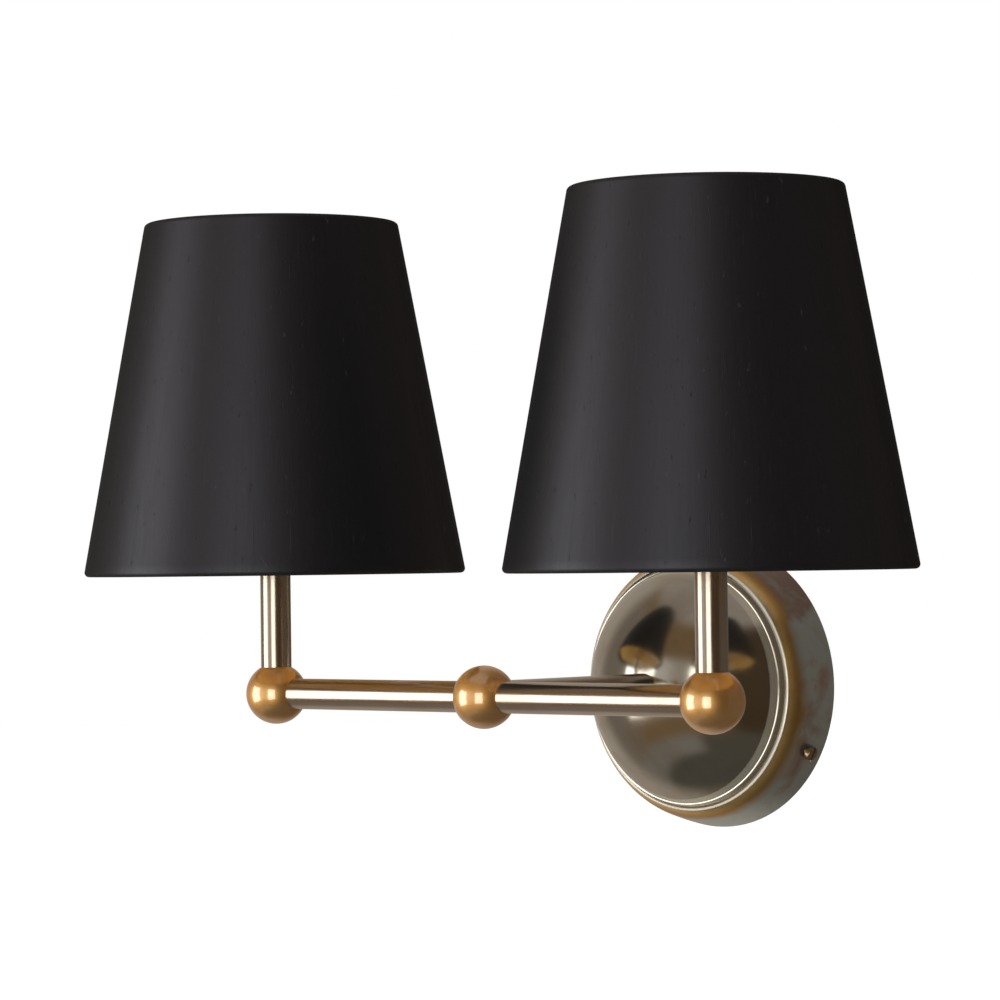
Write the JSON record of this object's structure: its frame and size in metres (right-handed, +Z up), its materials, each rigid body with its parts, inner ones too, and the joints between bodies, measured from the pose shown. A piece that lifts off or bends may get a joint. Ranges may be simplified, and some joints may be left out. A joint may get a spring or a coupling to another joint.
{
  "type": "double arm wall sconce",
  "caption": "Wall light with a domed round backplate, a stem, a cross bar with ball joints and tapered fabric shades on upright posts.",
  "frame": {"origin": "middle of the wall bracket's two screw holes, on the wall plane, which is also the middle of the back of the backplate", "axes": "+X along the bar to the right as seen from the room, +Y into the wall, +Z up; the sconce stands out towards -Y"},
  "size_m": [0.3662, 0.2211, 0.2435],
  "materials": {
    "aged_brass": "polished, aged to a pale bronze",
    "backplate_brass": "polished, golden brown shoulder, tinted rim",
    "screw_brass": "darkened brass",
    "bronze_ball": "satin golden bronze",
    "raw_brass": "plain turned brass",
    "zinc_steel": "zinc plated",
    "white_wire": "white powder coat",
    "black_silk": "fine slubbed weave, slight sheen",
    "gold_lining": "gold foil on a smooth backing sheet",
    "porcelain": "unglazed white",
    "block_plastic": "translucent white",
    "clear_glass": "clear",
    "black_glass": "black insulating base",
    "nickel": "nickel plated",
    "filament": "yellow coated rod",
    "brown_sleeve": "smooth",
    "blue_sleeve": "smooth",
    "green_yellow_sleeve": "smooth"
  },
  "bodies": {
    "fixture": {"wall_bracket": "zinc_steel", "bracket_earth_screw": "zinc_steel", "terminal_block": "block_plastic", "terminal_screws": "zinc_steel", "block_screw": "zinc_steel", "backplate_cover": "backplate_brass", "cover_screws": "screw_brass", "stem_washer": "zinc_steel", "earth_tag": "zinc_steel", "stem_nut": "zinc_steel", "stem_nipple": "raw_brass", "stem_tube": "aged_brass", "centre_ball": "bronze_ball", "joint_nipples": "raw_brass", "live_leads": "brown_sleeve", "neutral_leads": "blue_sleeve", "earth_lead": "green_yellow_sleeve", "arm_tube_left": "aged_brass", "post_tube_left": "aged_brass", "end_ball_left": "bronze_ball", "holder_cap_left": "raw_brass", "holder_skirt_left": "raw_brass", "holder_core_left": "porcelain", "holder_screw_shell_left": "raw_brass", "holder_contact_left": "raw_brass", "arm_tube_right": "aged_brass", "post_tube_right": "aged_brass", "end_ball_right": "bronze_ball", "holder_cap_right": "raw_brass", "holder_skirt_right": "raw_brass", "holder_core_right": "porcelain", "holder_screw_shell_right": "raw_brass", "holder_contact_right": "raw_brass"},
    "left_shade": {"shade_cloth_left": "black_silk", "shade_liner_left": "gold_lining", "shade_top_wire_left": "white_wire", "shade_bottom_wire_left": "white_wire", "shade_fitter_left": "white_wire", "shade_spokes_left": "white_wire"},
    "left_shade_ring": {"shade_ring_left": "raw_brass"},
    "left_bulb": {"bulb_glass_left": "clear_glass", "bulb_cap_left": "nickel", "bulb_base_left": "black_glass", "bulb_mount_left": "clear_glass", "bulb_filaments_left": "filament"},
    "right_shade": {"shade_cloth_right": "black_silk", "shade_liner_right": "gold_lining", "shade_top_wire_right": "white_wire", "shade_bottom_wire_right": "white_wire", "shade_fitter_right": "white_wire", "shade_spokes_right": "white_wire"},
    "right_shade_ring": {"shade_ring_right": "raw_brass"},
    "right_bulb": {"bulb_glass_right": "clear_glass", "bulb_cap_right": "nickel", "bulb_base_right": "black_glass", "bulb_mount_right": "clear_glass", "bulb_filaments_right": "filament"}
  },
  "joints": [
    {"name": "shade_turn_left", "type": "hinge", "parent": "fixture", "child": "left_shade", "pos_m": [-0.108, -0.146, 0.04684], "axis": [0, 0, 1], "continuous": true},
    {"name": "shade_ring_turn_left", "type": "hinge", "parent": "fixture", "child": "left_shade_ring", "pos_m": [-0.108, -0.146, 0.07704], "axis": [0, 0, 1], "range_deg": [0, 1080]},
    {"name": "bulb_turn_left", "type": "hinge", "parent": "fixture", "child": "left_bulb", "pos_m": [-0.108, -0.146, 0.09689], "axis": [0, 0, 1], "range_deg": [0, 900]},
    {"name": "shade_turn_right", "type": "hinge", "parent": "fixture", "child": "right_shade", "pos_m": [0.108, -0.146, 0.04684], "axis": [0, 0, 1], "continuous": true},
    {"name": "shade_ring_turn_right", "type": "hinge", "parent": "fixture", "child": "right_shade_ring", "pos_m": [0.108, -0.146, 0.07704], "axis": [0, 0, 1], "range_deg": [0, 1080]},
    {"name": "bulb_turn_right", "type": "hinge", "parent": "fixture", "child": "right_bulb", "pos_m": [0.108, -0.146, 0.09689], "axis": [0, 0, 1], "range_deg": [0, 900]}
  ]
}
